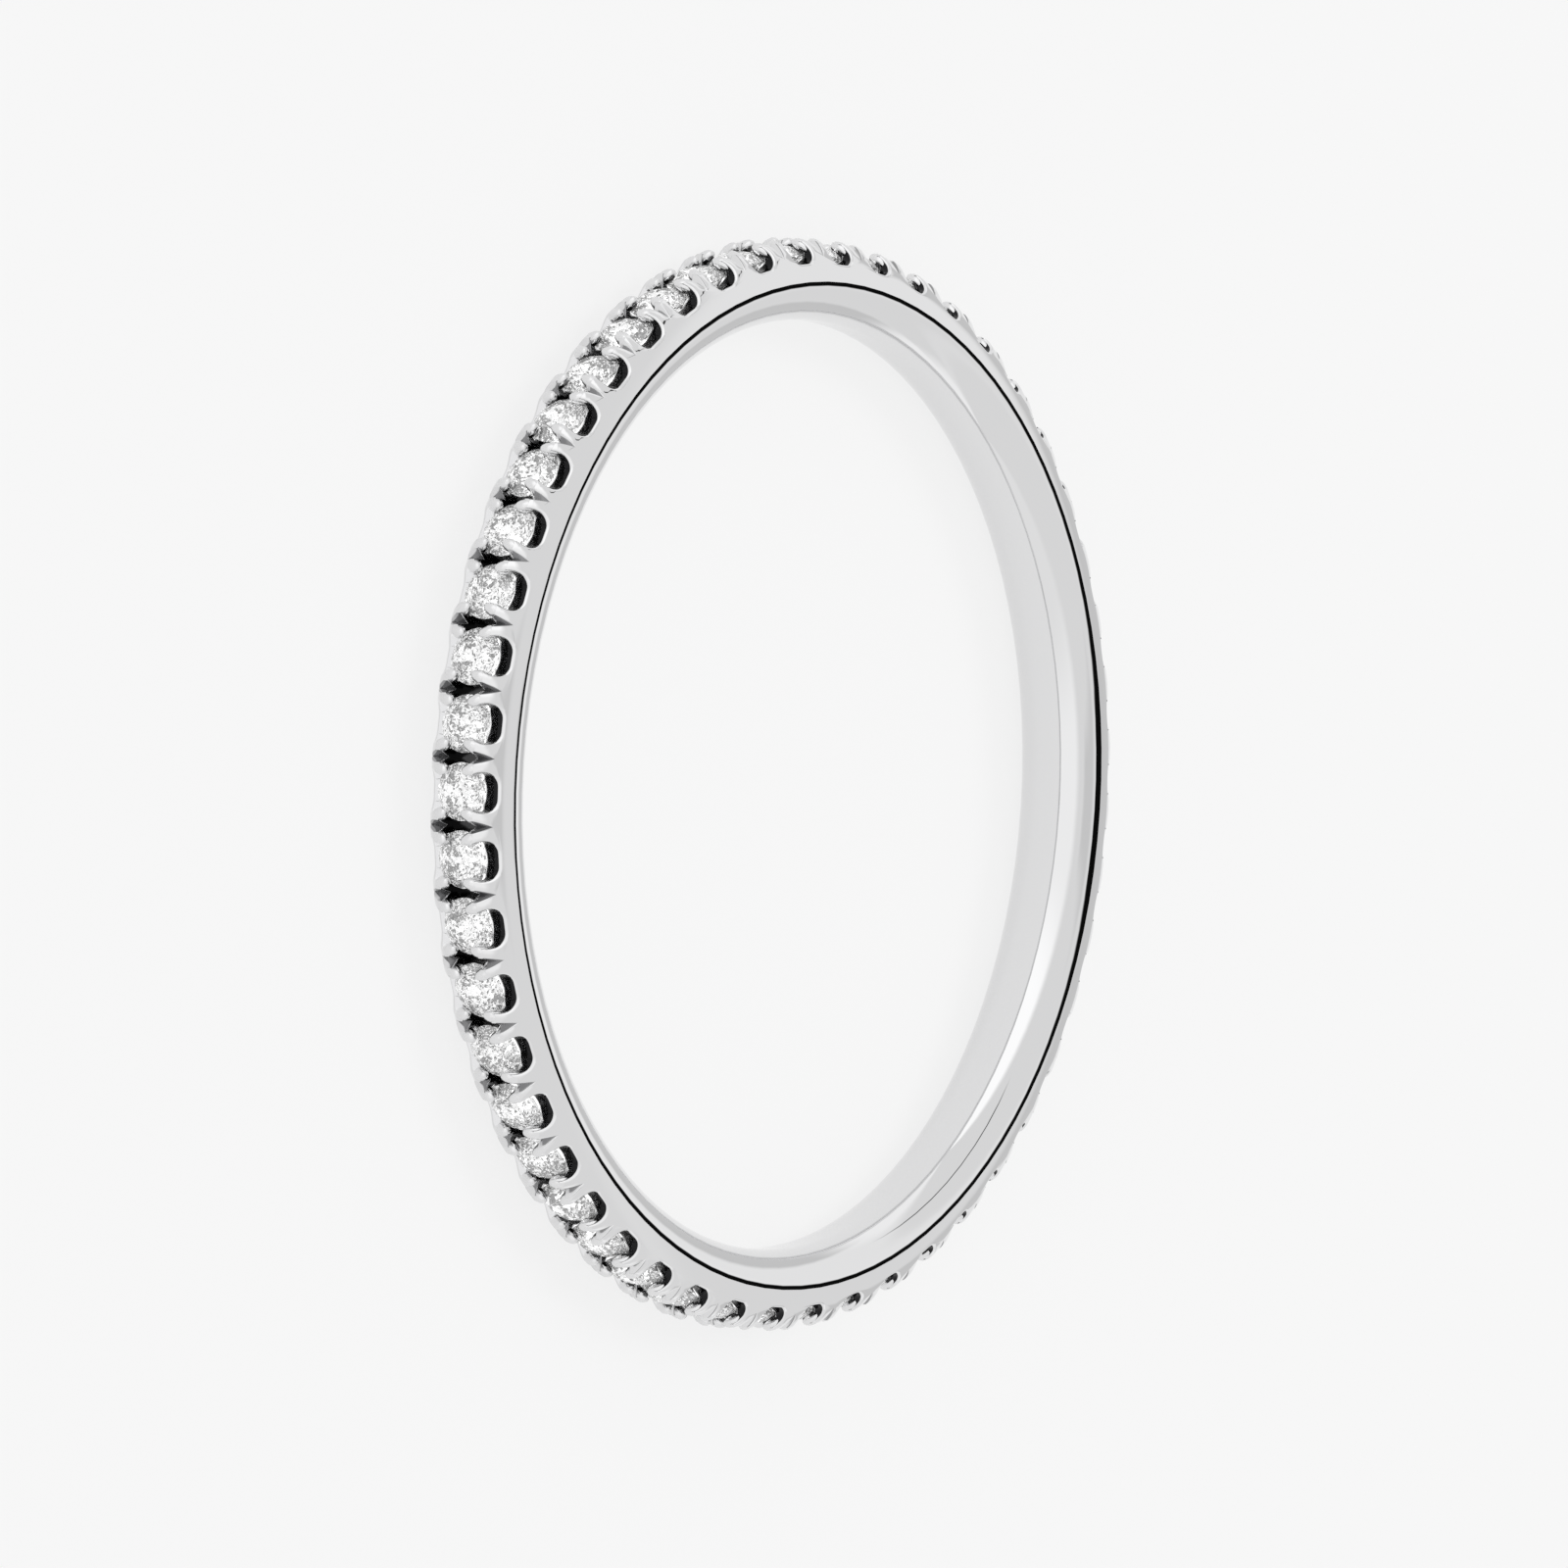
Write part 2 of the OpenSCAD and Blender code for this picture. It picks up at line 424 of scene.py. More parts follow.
def seat_cutter(s, g):
    """Cone, rim and crown of the cavity that a stone sits in, one clearance larger than the stone."""
    finger, clear = s.finger_d / 2 * BENCH, g.clear * BENCH
    seat_r = g.stone_d / 2 * BENCH + clear
    edge = g.girdle_t / 2 * BENCH + clear
    table_r = g.table * g.stone_d / 2 * BENCH
    deep = seat_r * math.tan(g.pavilion)
    rise = (seat_r - table_r) * math.tan(g.crown)
    bpy.ops.object.select_all(action="DESELECT")
    bpy.ops.mesh.primitive_cone_add(vertices=SEAT_STEPS, radius1=0.0, radius2=seat_r, depth=deep,
                                    location=(0.0, 0.0, -edge - deep / 2))
    cutter = named("seat_cutter")
    freeze(cutter)
    edit()
    pick("faces", lambda p, f: f.normal.z > 0.9)
    bpy.ops.mesh.extrude_region_move(TRANSFORM_OT_translate={"value": (0, 0, 2 * edge)})
    bpy.ops.mesh.extrude_region_move(TRANSFORM_OT_translate={"value": (0, 0, rise)})
    bpy.ops.transform.resize(value=(table_r / seat_r,) * 2 + (1.0,), center_override=(0, 0, 0))
    done()
    cutter.rotation_euler = (0.0, math.pi / 2, 0.0)
    freeze(cutter)
    cutter.location = (finger + g.girdle_h * BENCH, 0.0, 0.0)
    freeze(cutter)
    return cutter


def prong_pad(s):
    """Rounded pad that the prong above and beside a stone lays over the stone's corner."""
    bpy.ops.object.select_all(action="DESELECT")
    bpy.ops.mesh.primitive_uv_sphere_add(segments=PAD_SIDES, ring_count=PAD_RINGS, radius=0.5)
    pad = named("prong_pad")
    pad.scale = (s.pad_t * BENCH, s.pad_w * BENCH, s.pad_l * BENCH)
    freeze(pad)
    pad.rotation_euler = (-s.pad_turn, -s.pad_lean, 0.0)
    freeze(pad)
    pad.location = ((s.finger_d / 2 + s.pad_h) * BENCH, s.pad_y * BENCH, s.pad_z * BENCH)
    freeze(pad)
    return pad


def metal_slots(piece, metals, number):
    """Gives a piece all the metals and colours it with one of them."""
    piece.data.materials.clear()
    for metal in metals:
        piece.data.materials.append(metal)
    for face in piece.data.polygons:
        face.material_index = number


def meets(edge, a, b):
    """Whether two of the metals meet at an edge."""
    return {face.material_index for face in edge.link_faces} == {a, b}


def round_edges(test, width, segments, weld):
    """Merges the short edges along the edges that pass a test, then rounds them with polished metal."""
    pick("edges", test)
    bpy.ops.mesh.remove_doubles(threshold=weld)
    pick("edges", test)
    bpy.ops.mesh.bevel(offset=width, offset_type="OFFSET", segments=segments, profile=0.5, affect="EDGES",
                       clamp_overlap=False, material=SHELL)


def paint(number, test):
    """Gives the faces of the edited mesh that pass a test one of the piece's metals."""
    pick("faces", test)
    bpy.context.object.active_material_index = number
    bpy.ops.object.material_slot_assign()


class RING_OT_band(bpy.types.Operator):
    """Models the band: one quarter cell is cut, mirrored twice and repeated round the finger"""

    bl_idname = "ring.band"
    bl_label = "Model the band"

    def execute(self, context):
        s, g, f = context.scene.ring_sizes, context.scene.ring_stones, context.scene.ring_finish
        pitch = 2 * math.pi / g.count
        metals = band_metals(s, g, f)
        band = sector_blank(s, pitch)
        metal_slots(band, metals, SHELL)
        edit()
        channel = (s.finger_d / 2 + s.channel_h) * BENCH
        inside = s.channel_w / 2 * BENCH + WELD
        # Painted shade: the channel floor takes the near-black channel metal
        paint(CHANNEL, lambda p, face: abs(p.z) < inside and p.xy.length > channel - OFF
              and face.calc_area() > WELD)
        done()
        # The scallops and seats take metals with painted glow and painted shade, the V splits one with
        # painted shade
        for cutter, number in ((scallop_cutter(s), TUNNEL), (seat_cutter(s, g), SEAT),
                               (split_cutter(s, pitch / 2), SPLIT), (split_cutter(s, -pitch / 2), SPLIT)):
            metal_slots(cutter, metals, number)
            cut_with(band, cutter)
        only(band)
        edit()
        round_edges(lambda p, e: meets(e, SHELL, TUNNEL) and abs(p.z) > inside,
                    s.scallop_rim * BENCH, 2, SCALLOP_CLEAN)
        round_edges(lambda p, e: p.xy.length > channel + OFF and abs(math.atan2(p.y, p.x)) < pitch * RIM_SPAN
                    and len(e.link_faces) == 2 and e.is_convex and e.calc_face_angle(0.0) > RIM_ANGLE,
                    s.rim * BENCH, 1, RIM_CLEAN)
        slice_off((0, 0, 0), (0, 0, -1))
        slice_off((0, 0, 0), (0, -1, 0))
        slice_off((0, 0, 0), (-math.sin(pitch / 2), math.cos(pitch / 2), 0))
        slice_off(((s.finger_d / 2 + s.tip_h) * BENCH, 0, 0), (1, 0, 0), True)
        # Rim faces along the V splits take the split metal and its painted shade
        paint(SPLIT, lambda p, face: face.material_index == SHELL and p.xy.length > channel + OFF
              and abs(face.normal.y) > SPLIT_FACING and pitch / 2 - math.atan2(p.y, p.x) < SPLIT_REACH)
        everything()
        bpy.ops.mesh.delete_loose()
        done()
        pad = prong_pad(s)
        metal_slots(pad, metals, PAD)
        # Painted shadow: a pad's underside takes the near-black channel metal
        for face in pad.data.polygons:
            if face.normal.x < -s.pad_shadow:
                face.material_index = CHANNEL
        band.select_set(True)
        context.view_layer.objects.active = band
        bpy.ops.object.join()
        apply_modifier(band, "Two sides", "MIRROR", use_axis=(False, True, True), merge_threshold=WELD)
        repeat_round(band, g.count, use_merge_vertices=True, use_merge_vertices_cap=True,
                     merge_threshold=WELD)
        only(band)
        edit()
        join_doubles()
        crease = (s.finger_d / 2 + s.comfort_h + s.rest_w) * BENCH
        pick("edges", lambda p, e: all(abs(v.co.xy.length - crease) < CREASE_SLACK for v in e.verts))
        bpy.ops.mesh.mark_sharp()
        done()
        only(band)
        bpy.ops.object.shade_smooth_by_angle(angle=SMOOTH_ANGLE, keep_sharp_edges=True)
        to_metres(band)
        apply_modifier(band, "Even shading", "WEIGHTED_NORMAL", weight=60, keep_sharp=True)
        band.name = "ring_band"
        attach(band, "root")
        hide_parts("band")
        return {"FINISHED"}


def facet_planes(g):
    """Every facet of a round brilliant as a point on it and its outward normal, in bench units."""
    r, top = g.stone_d / 2 * BENCH, g.girdle_t / 2 * BENCH
    table_r = g.table * r
    table_z = top + (r - table_r) * math.tan(g.crown)
    star_r = (table_r + r) / 2
    eighth = math.radians(22.5)
    star_z = top + (r - star_r * math.cos(eighth)) * math.tan(g.crown)
    half_r = (1 - g.halves) * r
    half_z = -top - (r - half_r * math.cos(eighth)) * math.tan(g.pavilion)

    def at(radius, step, z):
        return Vector((radius * math.cos(step * eighth), radius * math.sin(step * eighth), z))

    planes = [(Vector((0, 0, table_z)), Vector((0, 0, 1)))]
    for i in range(0, 16, 2):
        lean = Matrix.Rotation(i * eighth, 3, "Z")
        planes.append((at(r, i, top), lean @ Vector((math.sin(g.crown), 0, math.cos(g.crown)))))
        planes.append((at(r, i, -top), lean @ Vector((math.sin(g.pavilion), 0, -math.cos(g.pavilion)))))
        planes.append(through(at(table_r, i, table_z), at(table_r, i + 2, table_z),
                              at(star_r, i + 1, star_z)))
        for a, b in ((i, i + 1), (i + 1, i + 2)):
            planes.append(through(at(star_r, i + 1, star_z), at(r, a, top), at(r, b, top)))
            planes.append(through(at(half_r, i + 1, half_z), at(r, a, -top), at(r, b, -top)))
    return planes


def through(a, b, c):
    """The plane through three points, with its normal away from the stone's middle."""
    normal = (b - a).cross(c - a).normalized()
    return (a, normal if normal.dot(a) > 0 else -normal)


class RING_OT_stones(bpy.types.Operator):
    """Cuts one round brilliant facet by facet and sets a copy in every seat"""

    bl_idname = "ring.stones"
    bl_label = "Cut and set the stones"

    def execute(self, context):
        s, g, f = context.scene.ring_sizes, context.scene.ring_stones, context.scene.ring_finish
        bpy.ops.object.select_all(action="DESELECT")
        bpy.ops.mesh.primitive_cylinder_add(vertices=SEAT_STEPS, radius=g.stone_d / 2 * BENCH,
                                            depth=2 * g.stone_d * BENCH)
        stone = named("ring_stones")
        edit()
        for point, normal in facet_planes(g):
            slice_off(point, normal, fill=True)
        join_doubles()
        done()
        stone.rotation_euler = (0.0, math.pi / 2, 0.0)
        freeze(stone)
        stone.location = ((s.finger_d / 2 + g.girdle_h) * BENCH, 0.0, 0.0)
        freeze(stone)
        repeat_round(stone, g.count)
        stone.data.materials.append(clear_stone(f))
        only(stone)
        bpy.ops.object.shade_flat()
        to_metres(stone)
        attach(stone, "root")
        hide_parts("stones")
        return {"FINISHED"}


def new_material(name):
    """A node material and its Principled shader."""
    material = bpy.data.materials.new(name)
    material.use_nodes = True
    return material, material.node_tree.nodes["Principled BSDF"]


def set_sockets(shader, **values):
    """Sets plain values on a shader's sockets, named with underscores for spaces."""
    for name, value in values.items():
        shader.inputs[name.replace("_", " ")].default_value = value


def opaque(rgb):
    """A colour with full alpha."""
    return (*rgb, 1.0)


def vector_math(tree, operation, values=None):
    """A Vector Math node, with the second vector where it is fixed."""
    node = tree.nodes.new("ShaderNodeVectorMath")
    node.operation = operation
    if values:
        node.inputs[1].default_value = values
    return node


def number_math(tree, operation, value=None):
    """A Math node, with the second number where it is fixed."""
    node = tree.nodes.new("ShaderNodeMath")
    node.operation = operation
    if value is not None:
        node.inputs[1].default_value = value
    return node


def new_group(name, settings, results):
    """A shader node group with float settings and named results, or the one that is there already."""
    if name in bpy.data.node_groups:
        return bpy.data.node_groups[name], None, None
    group = bpy.data.node_groups.new(name, "ShaderNodeTree")
    for label, value in settings:
        group.interface.new_socket(label, in_out="INPUT", socket_type="NodeSocketFloat").default_value = value
    for label, kind in results:
        group.interface.new_socket(label, in_out="OUTPUT", socket_type=kind)
    return group, group.nodes.new("NodeGroupInput"), group.nodes.new("NodeGroupOutput")


def place_group(material, group, **values):
    """Places a node group in a material with that material's own values."""
    node = material.node_tree.nodes.new("ShaderNodeGroup")
    node.node_tree = group
    set_sockets(node, **values)
    return node


def colour_mix(tree, factor, first, second):
    """A colour that goes from the first to the second with a mask, as a socket."""
    blend = tree.nodes.new("ShaderNodeMix")
    blend.data_type = "RGBA"
    blend.inputs["A"].default_value = opaque(first)
    blend.inputs["B"].default_value = opaque(second)
    tree.links.new(factor, blend.inputs["Factor"])
    return blend.outputs["Result"]


def polish_group():
    """Shader group: polishing marks as a roughness and a height, from Object coordinates."""
    group, given, result = new_group("polish_marks", (("Scale", 900.0), ("Smooth", 0.04), ("Dull", 0.09)),
                                     (("Roughness", "NodeSocketFloat"), ("Height", "NodeSocketFloat")))
    if given:
        place = group.nodes.new("ShaderNodeTexCoord")
        cloud = group.nodes.new("ShaderNodeTexNoise")
        cloud.inputs["Detail"].default_value = 3.0
        spread = group.nodes.new("ShaderNodeMapRange")
        join = group.links.new
        join(place.outputs["Object"], cloud.inputs["Vector"])
        join(given.outputs["Scale"], cloud.inputs["Scale"])
        join(cloud.outputs["Fac"], spread.inputs["Value"])
        join(given.outputs["Smooth"], spread.inputs["To Min"])
        join(given.outputs["Dull"], spread.inputs["To Max"])
        join(spread.outputs["Result"], result.inputs["Roughness"])
        join(cloud.outputs["Fac"], result.inputs["Height"])
    return group


def fade_group():
    """Shader group: a mask that goes from 0 to 1 over a height, or over a distance from the finger axis;
    where it is 1 the recess metals carry painted shade instead of their painted glow.
    """
    group, given, result = new_group("depth_fade", (("Start", 0.0), ("Width", 0.0001), ("From Axis", 0.0)),
                                     (("Mask", "NodeSocketFloat"),))
    if given:
        place = group.nodes.new("ShaderNodeTexCoord")
        parts = group.nodes.new("ShaderNodeSeparateXYZ")
        flat = vector_math(group, "MULTIPLY", (1.0, 1.0, 0.0))
        reach = vector_math(group, "LENGTH")
        way = group.nodes.new("ShaderNodeMix")
        end = number_math(group, "ADD")
        fade = group.nodes.new("ShaderNodeMapRange")
        join = group.links.new
        join(place.outputs["Object"], parts.inputs["Vector"])
        join(place.outputs["Object"], flat.inputs[0])
        join(flat.outputs["Vector"], reach.inputs[0])
        join(given.outputs["From Axis"], way.inputs["Factor"])
        join(parts.outputs["Z"], way.inputs["A"])
        join(reach.outputs["Value"], way.inputs["B"])
        join(given.outputs["Start"], end.inputs[0])
        join(given.outputs["Width"], end.inputs[1])
        join(way.outputs["Result"], fade.inputs["Value"])
        join(given.outputs["Start"], fade.inputs["From Min"])
        join(end.outputs["Value"], fade.inputs["From Max"])
        join(fade.outputs["Result"], result.inputs["Mask"])
    return group


def facing_group():
    """Shader group: a mask that is 1 where the surface faces the front or the back, and 0 at the sides, where
    the split metal's painted shade goes.
    """
    group, given, result = new_group("facing_mask", (("From", 0.68), ("To", 0.82)),
                                     (("Mask", "NodeSocketFloat"),))
    if given:
        surface = group.nodes.new("ShaderNodeNewGeometry")
        parts = group.nodes.new("ShaderNodeSeparateXYZ")
        size = number_math(group, "ABSOLUTE")
        spread = group.nodes.new("ShaderNodeMapRange")
        spread.interpolation_type = "SMOOTHSTEP"
        join = group.links.new
        join(surface.outputs["Normal"], parts.inputs["Vector"])
        join(parts.outputs["Y"], size.inputs[0])
        join(size.outputs["Value"], spread.inputs["Value"])
        join(given.outputs["From"], spread.inputs["From Min"])
        join(given.outputs["To"], spread.inputs["From Max"])
        join(spread.outputs["Result"], result.inputs["Mask"])
    return group


def facet_group():
    """Shader group: many small flat patches, each with its own tilt, from Object coordinates."""
    group, given, result = new_group("small_facets", (("Scale", 12000.0), ("Tilt", 0.3)),
                                     (("Normal", "NodeSocketVector"),))
    if given:
        place = group.nodes.new("ShaderNodeTexCoord")
        cells = group.nodes.new("ShaderNodeTexVoronoi")
        surface = group.nodes.new("ShaderNodeNewGeometry")
        centred = vector_math(group, "SUBTRACT", (0.5, 0.5, 0.5))
        tilted, turned, unit = (vector_math(group, kind) for kind in ("SCALE", "ADD", "NORMALIZE"))
        join = group.links.new
        join(place.outputs["Object"], cells.inputs["Vector"])
        join(given.outputs["Scale"], cells.inputs["Scale"])
        join(cells.outputs["Color"], centred.inputs[0])
        join(centred.outputs["Vector"], tilted.inputs[0])
        join(given.outputs["Tilt"], tilted.inputs["Scale"])
        join(surface.outputs["Normal"], turned.inputs[0])
        join(tilted.outputs["Vector"], turned.inputs[1])
        join(turned.outputs["Vector"], unit.inputs[0])
        join(unit.outputs["Vector"], result.inputs["Normal"])
    return group


def new_metal(name, tint, rough, marks=RECESS_MARKS, spread=RECESS_SPREAD, depth=RECESS_DEPTH):
    """A metal with polishing marks in its roughness and its normal, and its shader."""
    material, shader = new_material(name)
    set_sockets(shader, Base_Color=opaque(tint), Metallic=1.0)
    polish = place_group(material, polish_group(), Scale=marks,
                         Smooth=rough * spread[0], Dull=rough * spread[1])
    bump = material.node_tree.nodes.new("ShaderNodeBump")
    set_sockets(bump, Strength=BUMP_STRENGTH, Distance=depth)
    join = material.node_tree.links.new
    join(polish.outputs["Roughness"], shader.inputs["Roughness"])
    join(polish.outputs["Height"], bump.inputs["Height"])
    join(bump.outputs["Normal"], shader.inputs["Normal"])
    return material, shader


def split_metal(f):
    """Metal of the V splits: bright towards the front and the back, with painted shade where it faces
    sideways.
    """
    material, shader = new_metal("split_white_metal", f.split_metal, f.recess_rough)
    tree = material.node_tree
    facing = place_group(material, facing_group())
    tint = colour_mix(tree, facing.outputs["Mask"], f.split_painted_shade, f.split_metal)
    tree.links.new(tint, shader.inputs["Base Color"])
    return material


def fading_metal(name, rough, deep, glow, dark, **fade):
    """Recess metal with a painted glow in its depth and painted shade towards its edge."""
    material, shader = new_metal(name, deep, rough)
    tree = material.node_tree
    edge = place_group(material, fade_group(), **fade).outputs["Mask"]
    tree.links.new(colour_mix(tree, edge, deep, dark), shader.inputs["Base Color"])
    tree.links.new(colour_mix(tree, edge, WHITE, BLACK), shader.inputs["Emission Color"])
    set_sockets(shader, Emission_Strength=glow)
    return material


def band_metals(s, g, f):
    """The band's metals, in the order of their numbers."""
    girdle = s.finger_d / 2 + g.girdle_h
    return (
        new_metal("polished_white_metal", f.metal, f.metal_rough, SHELL_MARKS, SHELL_SPREAD, SHELL_DEPTH)[0],
        # Split metal, with painted shade on its sideways walls
        split_metal(f),
        # Recess and seat metals: painted glow in their depth, painted shade at their edges
        fading_metal("recess_white_metal", f.recess_rough, f.scallop_metal, f.scallop_painted_glow, f.mouth_shade,
                     Start=MIDDLE + f.mouth_z - f.mouth_soft, Width=f.mouth_soft, From_Axis=0.0),
        fading_metal("seat_white_metal", f.metal_rough, f.seat_metal, f.seat_painted_glow, f.mouth_shade,
                     Start=girdle - f.seat_edge, Width=f.seat_soft, From_Axis=1.0),
        # Channel metal: near black, painted shade
        new_metal("channel_white_metal", f.channel_shade, f.recess_rough)[0],
        new_metal("pad_white_metal", f.metal, f.pad_rough)[0],
    )


def clear_stone(f):
    """Clear gem with full refraction, broken up into small facets, with a faint painted glow."""
    material, shader = new_material("clear_gem")
    facets = place_group(material, facet_group(), Scale=f.facet_scale, Tilt=f.facet_tilt)
    material.node_tree.links.new(facets.outputs["Normal"], shader.inputs["Normal"])
    set_sockets(shader, Base_Color=opaque(f.stone), Roughness=0.0, IOR=f.stone_ior, Transmission_Weight=1.0,
                Emission_Color=opaque(WHITE), Emission_Strength=f.stone_painted_glow)
    return material


# Size of the floor, its drop under the ring, the scale of its grain and how dark the grain is
FLOOR_SIDE = 6.0
FLOOR_DROP = 0.00002
FLOOR_GRAIN = 60.0
FLOOR_DARKER = 0.99
# The soft light's place, width and power
KEY_PLACE = Vector((-0.25, 0.35, 0.6))
KEY_WIDTH = 0.35
KEY_POWER = 1.2
# The photo's camera: height over the ring's plane, side, roll and distance, then the picture's side,
# focal length and the ring's middle in pixels
VIEW_RISE = math.radians(35.61)
VIEW_SIDE = math.radians(-88.9)
VIEW_ROLL = math.radians(92.97)
VIEW_DISTANCE = 0.3012
PHOTO_SIDE = 1600
PHOTO_FOCUS = 17322.0
RING_IN_PHOTO = (794.5, 800.3)
SENSOR = 36.0
# The surround's light, and patches over it: rise in degrees with half width and softness (0 is level on
# the camera's side, 90 overhead), sideways lean with half width and softness, and light
SKY_BASE = 1.07
SKY_PATCHES = (
    (20.0, 62.0, 30.0, -0.8, 0.35, 0.5, 1.26),
    (20.0, 62.0, 30.0, 0.8, 0.35, 0.5, 0.93),
    (98.0, 40.0, 20.0, 0.0, 2.0, 0.1, 0.86),
    (98.0, 17.0, 10.0, 0.0, 0.12, 0.12, 0.71),
    (148.0, 12.0, 8.0, 0.45, 0.42, 0.2, 0.85),
    (148.0, 12.0, 8.0, -0.4, 0.36, 0.2, 0.97),
    (174.0, 14.0, 8.0, 0.0, 0.75, 0.2, 0.68),
    (137.2, 11.2, 1.5, 0.0, 0.04, 0.025, 0.004),
    (112.0, 24.0, 16.0, -0.68, 0.012, 0.01, 0.05),
)


def floor_material(f):
    """Pale matt studio floor with a trace of grain."""
    material, shader = new_material("pale_floor")
    tree = material.node_tree
    place = tree.nodes.new("ShaderNodeTexCoord")
    grain = tree.nodes.new("ShaderNodeTexNoise")
    grain.inputs["Scale"].default_value = FLOOR_GRAIN
    tree.links.new(place.outputs["Object"], grain.inputs["Vector"])
    tint = colour_mix(tree, grain.outputs["Fac"], f.floor, [c * FLOOR_DARKER for c in f.floor])
    tree.links.new(tint, shader.inputs["Base Color"])
    set_sockets(shader, Emission_Color=opaque(WHITE), Emission_Strength=f.floor_glow, Roughness=0.9,
                Specular_IOR_Level=0.0)
    return material


def studio_camera():
    """Camera at the photo's angle, rolled so that the ring has the photo's place."""
    centre = (CAD_BOUNDS[0] + CAD_BOUNDS[1]) / 2
    level = math.cos(VIEW_RISE)
    back = Vector((level * math.cos(VIEW_SIDE), level * math.sin(VIEW_SIDE), math.sin(VIEW_RISE)))
    right = Vector((-math.sin(VIEW_SIDE), math.cos(VIEW_SIDE), 0.0))
    up = back.cross(right)
    camera_x = right * math.cos(VIEW_ROLL) + up * math.sin(VIEW_ROLL)
    camera_y = up * math.cos(VIEW_ROLL) - right * math.sin(VIEW_ROLL)
    turn = Matrix((camera_x, camera_y, back)).transposed().to_4x4()
    off_x = (RING_IN_PHOTO[0] - PHOTO_SIDE / 2) / PHOTO_FOCUS
    off_y = (PHOTO_SIDE / 2 - RING_IN_PHOTO[1]) / PHOTO_FOCUS
    aside = Matrix.Rotation(off_x, 4, "Y") @ Matrix.Rotation(-off_y, 4, "X")
    bpy.ops.object.camera_add()
    camera = bpy.context.object
    camera.name = "photo_camera"
    camera.matrix_world = Matrix.Translation(centre + back * VIEW_DISTANCE) @ turn @ aside
    camera.data.sensor_width = SENSOR
    camera.data.lens = SENSOR * PHOTO_FOCUS / PHOTO_SIDE
    camera.data.clip_start = 0.01
    camera.data.clip_end = 20.0
    bpy.context.scene.camera = camera


def sky_patch(tree, old, rise, aside, value):
    """Lays a soft edged patch of light over a sky value and gives the new value's socket.

    rise is (angle node socket, middle, half width, softness) and aside the same for the sideways lean."""
    masks = []
    for socket, middle, half, soft in (rise, aside):
        offset = number_math(tree, "SUBTRACT", middle)
        size = number_math(tree, "ABSOLUTE")
        fade = tree.nodes.new("ShaderNodeMapRange")
        fade.interpolation_type = "SMOOTHSTEP"
        fade.inputs["From Min"].default_value = half + soft / 2
        fade.inputs["From Max"].default_value = half - soft / 2
        tree.links.new(socket, offset.inputs[0])
        tree.links.new(offset.outputs[0], size.inputs[0])
        tree.links.new(size.outputs[0], fade.inputs["Value"])
        masks.append(fade.outputs["Result"])
    both = number_math(tree, "MULTIPLY")
    tree.links.new(masks[0], both.inputs[0])
    tree.links.new(masks[1], both.inputs[1])
    lay = tree.nodes.new("ShaderNodeMix")
    lay.data_type = "FLOAT"
    tree.links.new(both.outputs[0], lay.inputs["Factor"])
    tree.links.new(old, lay.inputs["A"])
    lay.inputs["B"].default_value = value
    return lay.outputs["Result"]


def studio_sky():
    """Soft white surround with lighter and darker patches, placed by their rise and their lean."""
    world = bpy.data.worlds.new("studio")
    bpy.context.scene.world = world
    world.use_nodes = True
    tree = world.node_tree
    place = tree.nodes.new("ShaderNodeTexCoord")
    turned = tree.nodes.new("ShaderNodeVectorRotate")
    turned.rotation_type = "Z_AXIS"
    turned.inputs["Angle"].default_value = -(VIEW_SIDE + math.pi / 2)
    parts = tree.nodes.new("ShaderNodeSeparateXYZ")
    back = number_math(tree, "MULTIPLY", -1.0)
    rise = number_math(tree, "ARCTAN2")
    degrees = number_math(tree, "DEGREES")
    tree.links.new(place.outputs["Generated"], turned.inputs["Vector"])
    tree.links.new(turned.outputs["Vector"], parts.inputs["Vector"])
    tree.links.new(parts.outputs["Y"], back.inputs[0])
    tree.links.new(parts.outputs["Z"], rise.inputs[0])
    tree.links.new(back.outputs[0], rise.inputs[1])
    tree.links.new(rise.outputs[0], degrees.inputs[0])
    base = tree.nodes.new("ShaderNodeValue")
    base.outputs[0].default_value = SKY_BASE
    light = base.outputs[0]
    for up, half_up, soft_up, lean, half_lean, soft_lean, value in SKY_PATCHES:
        light = sky_patch(tree, light, (degrees.outputs[0], up, half_up, soft_up),
                          (parts.outputs["X"], lean, half_lean, soft_lean), value)
    background = tree.nodes["Background"]
    tree.links.new(light, background.inputs["Color"])
    background.inputs["Strength"].default_value = 1.0


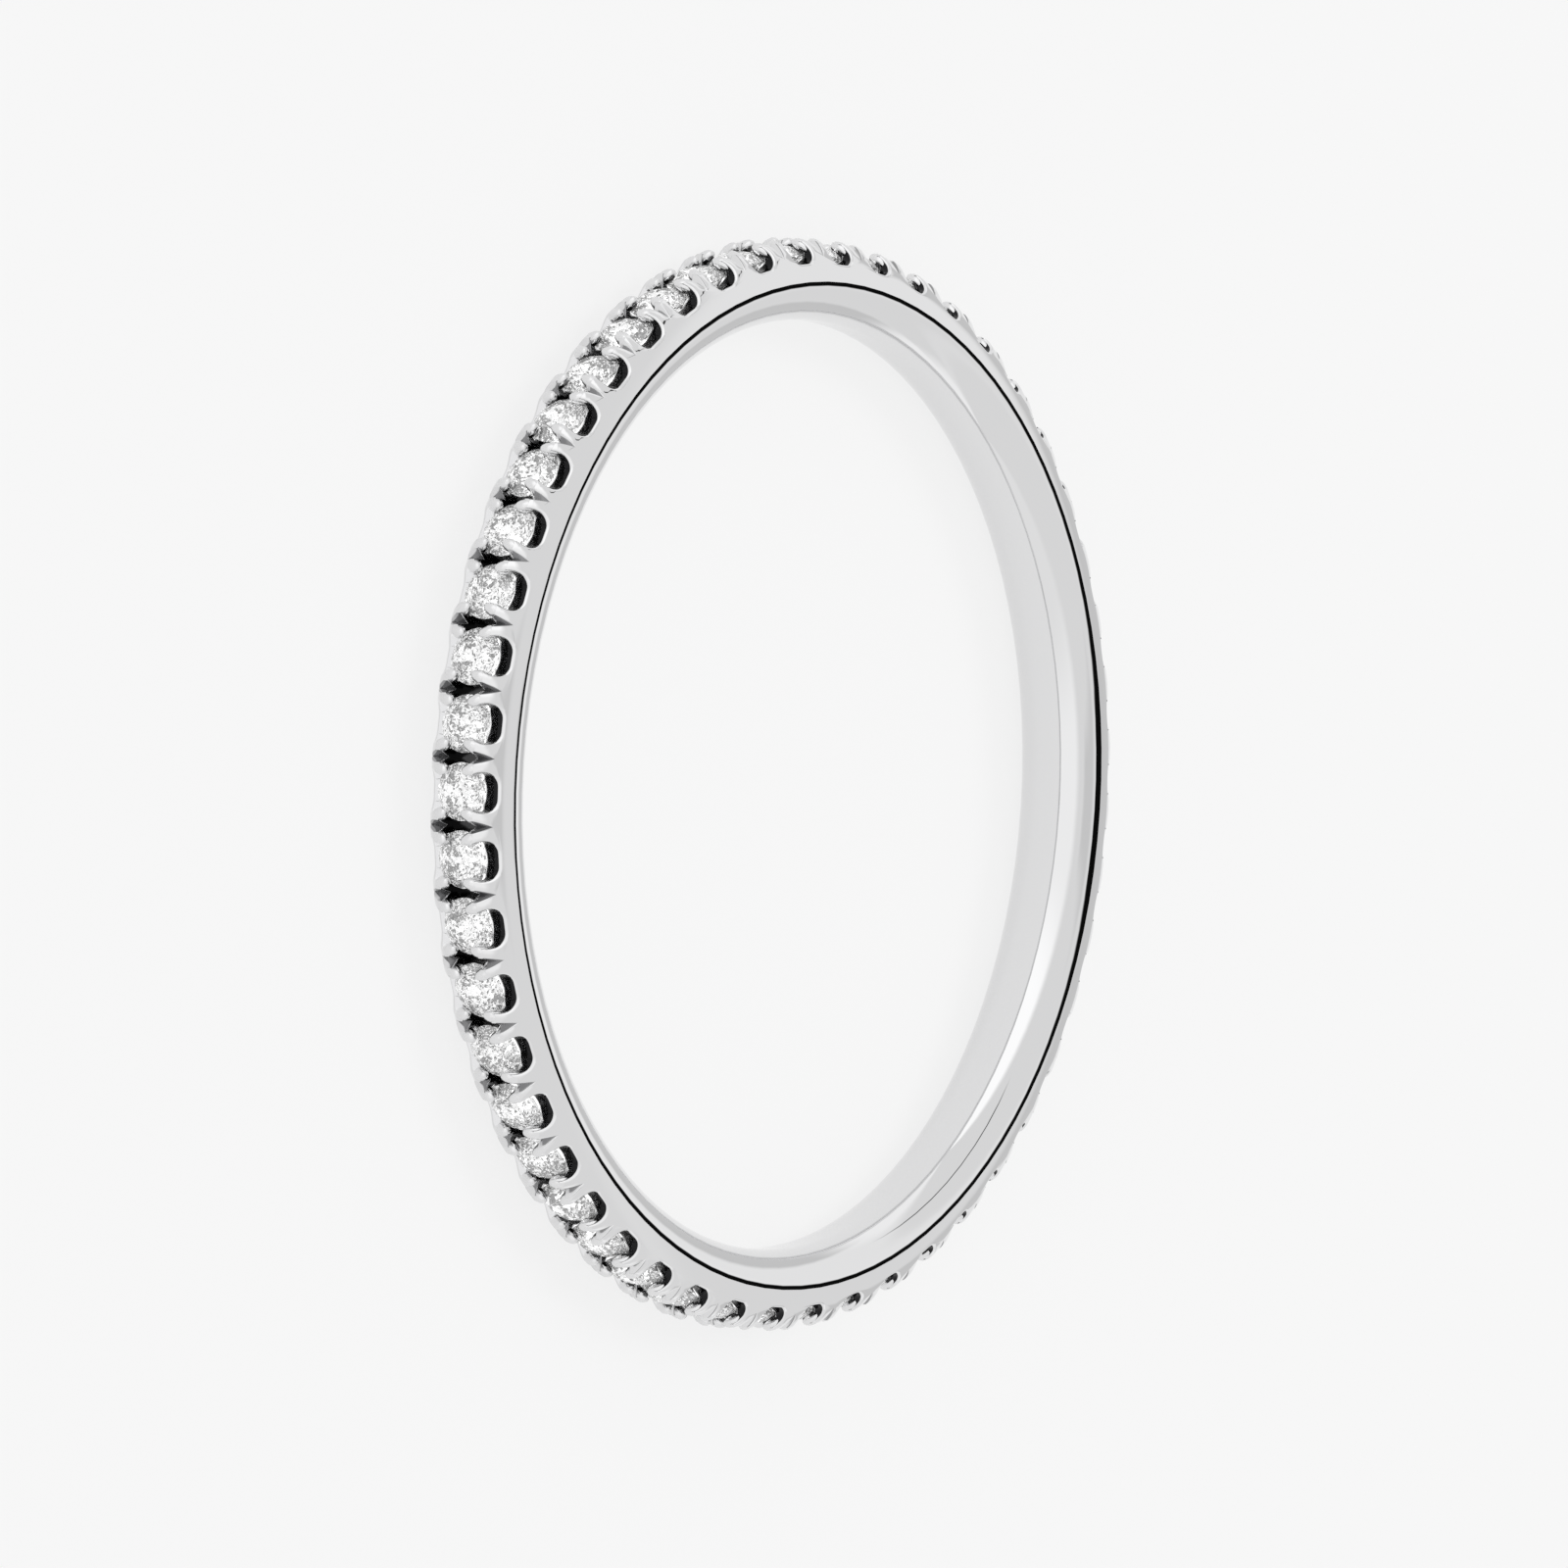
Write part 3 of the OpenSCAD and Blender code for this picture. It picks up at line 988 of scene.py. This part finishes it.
class RING_OT_stage(bpy.types.Operator):
    """Builds the pale floor, the soft light and the photo's camera"""

    bl_idname = "ring.stage"
    bl_label = "Build the stage"

    def execute(self, context):
        f = context.scene.ring_finish
        bpy.ops.object.select_all(action="DESELECT")
        bpy.ops.mesh.primitive_plane_add(size=FLOOR_SIDE, location=(0.0, 0.0, CAD_BOUNDS[0].z - FLOOR_DROP))
        floor = named("floor")
        freeze(floor)
        floor.data.materials.append(floor_material(f))
        studio_sky()
        bpy.ops.object.light_add(type="AREA", location=KEY_PLACE)
        key = bpy.context.object
        key.name = "soft_key"
        key.data.shape = "DISK"
        key.data.size = KEY_WIDTH
        key.data.energy = KEY_POWER
        key.visible_glossy = False
        key.rotation_euler = (-KEY_PLACE).to_track_quat("-Z", "Y").to_euler()
        studio_camera()
        context.scene.view_settings.view_transform = "Standard"
        return {"FINISHED"}


class RING_PT_panel(bpy.types.Panel):
    """Lists the ring's builders and their settings"""

    bl_label = "Eternity ring"
    bl_space_type = "VIEW_3D"
    bl_region_type = "UI"
    bl_category = "Ring"

    def draw(self, context):
        for operator in (RING_OT_band, RING_OT_stones, RING_OT_stage):
            self.layout.operator(operator.bl_idname)
        for group in ("ring_sizes", "ring_stones", "ring_finish"):
            settings = getattr(context.scene, group)
            for name in settings.__annotations__:
                self.layout.prop(settings, name)


CLASSES = (RingSizes, StoneSizes, RingFinish, RING_OT_band, RING_OT_stones, RING_OT_stage, RING_PT_panel)


def register():
    """Registers the classes and hangs the settings on the scene."""
    for cls in CLASSES:
        bpy.utils.register_class(cls)
    bpy.types.Scene.ring_sizes = PointerProperty(type=RingSizes)
    bpy.types.Scene.ring_stones = PointerProperty(type=StoneSizes)
    bpy.types.Scene.ring_finish = PointerProperty(type=RingFinish)


def unregister():
    """Takes the settings and the classes away again."""
    del bpy.types.Scene.ring_finish
    del bpy.types.Scene.ring_stones
    del bpy.types.Scene.ring_sizes
    for cls in reversed(CLASSES):
        bpy.utils.unregister_class(cls)


def main():
    register()
    bpy.ops.ring.band()
    bpy.ops.ring.stones()
    bpy.ops.ring.stage()


if __name__ == "__main__":
    main()
